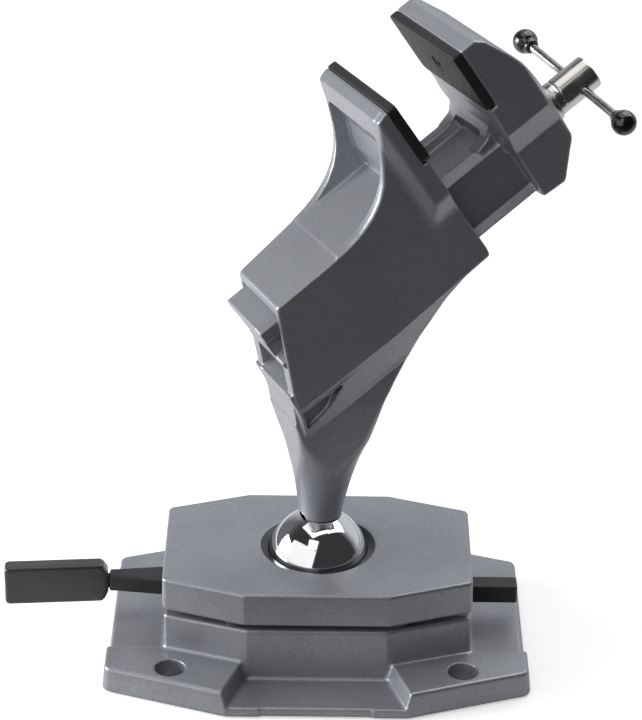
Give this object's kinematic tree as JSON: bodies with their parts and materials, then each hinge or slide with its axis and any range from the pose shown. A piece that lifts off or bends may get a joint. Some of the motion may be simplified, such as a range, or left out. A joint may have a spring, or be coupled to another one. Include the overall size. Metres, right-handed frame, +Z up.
{
  "type": "ball-joint bench vise",
  "caption": "Small bench vise on a lockable ball joint, with rubber-faced jaws, a screw-driven sliding jaw, a clamp lever and a bolt-down base.",
  "frame": {"origin": "on the underside of the base, straight below the ball centre, on the base's left-right symmetry plane", "axes": "+Z up from the bench, -Y towards the front edge with the two bolt holes, +X to the right; the clamp lever points along -X at rest"},
  "size_m": [0.1965, 0.1218, 0.2043],
  "materials": {
    "gray_enamel": "hammertone enamel over cast metal",
    "black_screw": "black oxide",
    "steel": "bright, lightly oiled",
    "bronze": "machined bronze",
    "black_oxide": "satin black enamel",
    "black_grip": "smooth black vinyl",
    "ball_chrome": "polished",
    "pad_rubber": "fine matte black",
    "nickel": "nickel plate over turned steel",
    "black_gloss": "glossy black"
  },
  "bodies": {
    "base": {"base_casting": "gray_enamel", "cover_plate": "gray_enamel", "cover_screws": "black_screw", "spacer_sleeves": "steel", "thrust_washer": "bronze"},
    "lever": {"cam_ring": "black_oxide", "lever_bar": "black_oxide", "lever_pins": "steel", "lever_grip": "black_grip"},
    "swivel": {"seat_ring": "bronze"},
    "ball_tilt": {"ball": "ball_chrome"},
    "head": {"stem_stud": "steel", "stud_lock_screw": "black_screw", "head_casting": "gray_enamel", "fixed_pad": "pad_rubber", "fixed_pad_screw": "steel", "spindle_nut": "bronze", "nut_pin": "steel"},
    "jaw": {"moving_jaw": "gray_enamel", "moving_pad": "pad_rubber", "moving_pad_screw": "steel"},
    "screw": {"spindle": "nickel", "spindle_washer": "nickel", "spindle_clip": "steel", "spindle_stop_pin": "steel"},
    "tommy": {"tommy_bar": "nickel", "tommy_knobs": "black_gloss"}
  },
  "joints": [
    {"name": "lever_swing", "type": "hinge", "parent": "base", "child": "lever", "pos_m": [0, 0, 0.0175], "axis": [0, 0, 1], "range_deg": [-16, 16]},
    {"name": "ball_swivel", "type": "hinge", "parent": "base", "child": "swivel", "pos_m": [0, 0, 0.0297], "axis": [0, 0, 1], "continuous": true},
    {"name": "ball_tilt", "type": "hinge", "parent": "swivel", "child": "ball_tilt", "pos_m": [0, 0, 0.0297], "axis": [-0.8479, 0.5301, 0], "range_deg": [-52.4, 37.5]},
    {"name": "head_turn", "type": "hinge", "parent": "ball_tilt", "child": "head", "pos_m": [0, 0, 0.0297], "axis": [0.0687, 0.1098, 0.9916], "continuous": true},
    {"name": "screw_turn", "type": "hinge", "parent": "jaw", "child": "screw", "pos_m": [0.07046, 0.03935, 0.17048], "axis": [0.7653, 0.3449, 0.5435], "range_deg": [-3943, 3241]},
    {"name": "jaw_slide", "type": "slide", "parent": "head", "child": "jaw", "axis": [0.7653, 0.3449, 0.5435], "range_m": [-0.0219, 0.018]},
    {"name": "tommy_slide", "type": "slide", "parent": "screw", "child": "tommy", "axis": [0.475, -0.8724, -0.1152], "range_m": [-0.0175, 0.0195]}
  ],
  "couplings": [
    {"joint": "screw_turn", "follows": "jaw_slide", "rad_per_m": 3141.6}
  ]
}
